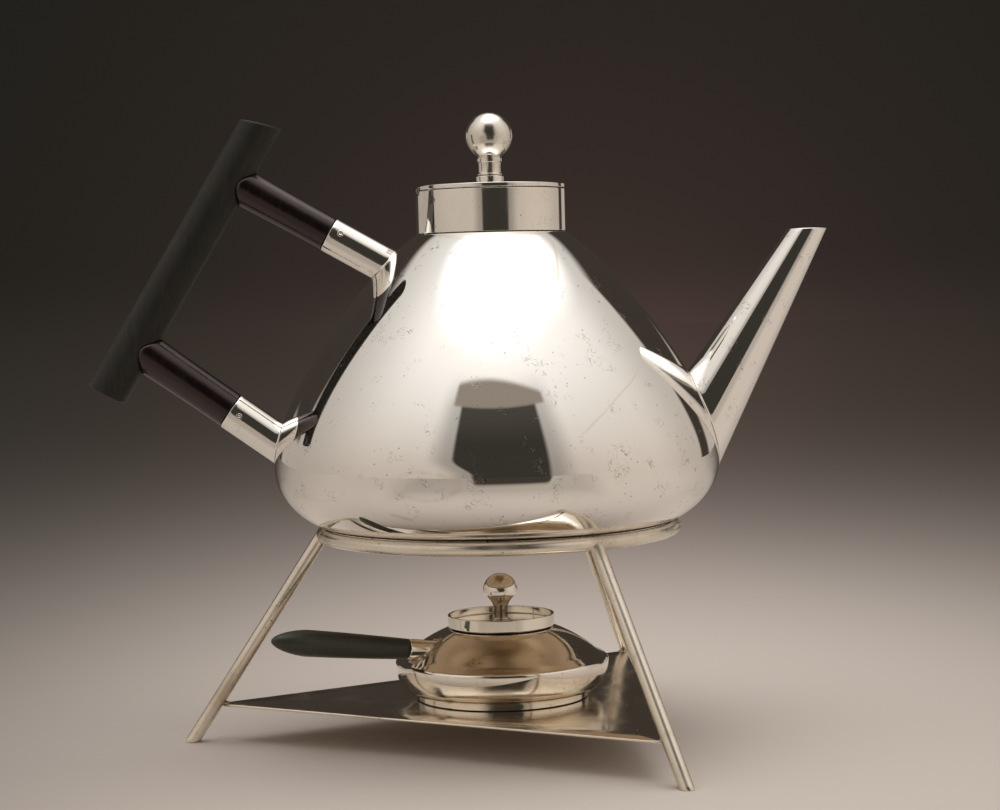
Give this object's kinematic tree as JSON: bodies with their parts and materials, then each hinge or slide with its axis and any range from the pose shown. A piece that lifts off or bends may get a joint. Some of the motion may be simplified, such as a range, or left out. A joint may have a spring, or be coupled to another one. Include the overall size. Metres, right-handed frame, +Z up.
{
  "type": "spirit kettle on stand",
  "caption": "Round-shouldered kettle with a straight spout, slanted bar handle and hinged lid, resting in the ring of a tripod stand with a tray and spirit lamp.",
  "frame": {"origin": "centre of the bounding box at the surface that the three feet stand on", "axes": "+X towards the spout along the longest extent, +Y away from the front leg and lamp handle, the shortest extent, +Z up"},
  "size_m": [0.2994, 0.2264, 0.2537],
  "materials": {
    "silver": "polished silver plate with light tarnish",
    "worn_silver": "polished silver plate, worn and browned",
    "ebony": "satin, nearly black",
    "steel": "bright wire",
    "cotton": "soft twisted cotton"
  },
  "bodies": {
    "stand": {"stand_ring": "worn_silver", "leg_left": "worn_silver", "leg_front": "worn_silver", "leg_back": "worn_silver", "tray": "silver"},
    "kettle": {"kettle_body": "silver", "neck_collar": "silver", "spout": "silver", "upper_socket": "silver", "lower_socket": "silver", "upper_arm": "ebony", "lower_arm": "ebony", "grip_bar": "ebony", "upper_socket_pin": "silver", "lower_socket_pin": "silver", "collar_knuckle_front": "silver", "collar_knuckle_back": "silver", "hinge_pin": "steel"},
    "lid": {"lid_plate": "silver", "lid_bezel": "silver", "lid_knob": "silver", "knob_base": "silver", "knob_nut": "silver", "lid_knuckle": "silver"},
    "lamp": {"lamp_body": "silver", "lamp_foot": "silver", "burner": "silver", "wick": "cotton", "lamp_ferrule": "silver", "lamp_handle": "ebony"},
    "snuffer": {"snuffer_dish": "silver", "snuffer_sleeve": "silver", "snuffer_knob": "silver"}
  },
  "joints": [
    {"name": "kettle_lift", "type": "slide", "parent": "stand", "child": "kettle", "axis": [0, 0, 1], "range_m": [0, 0.12]},
    {"name": "lid_hinge", "type": "hinge", "parent": "kettle", "child": "lid", "pos_m": [-0.0146, 0, 0.22099], "axis": [0, -1, 0], "range_deg": [0, 100]},
    {"name": "lamp_slide", "type": "slide", "parent": "stand", "child": "lamp", "axis": [-0.5, -0.866, 0], "range_m": [0, 0.12]},
    {"name": "snuffer_lift", "type": "slide", "parent": "lamp", "child": "snuffer", "axis": [0, 0, 1], "range_m": [0, 0.014]}
  ]
}
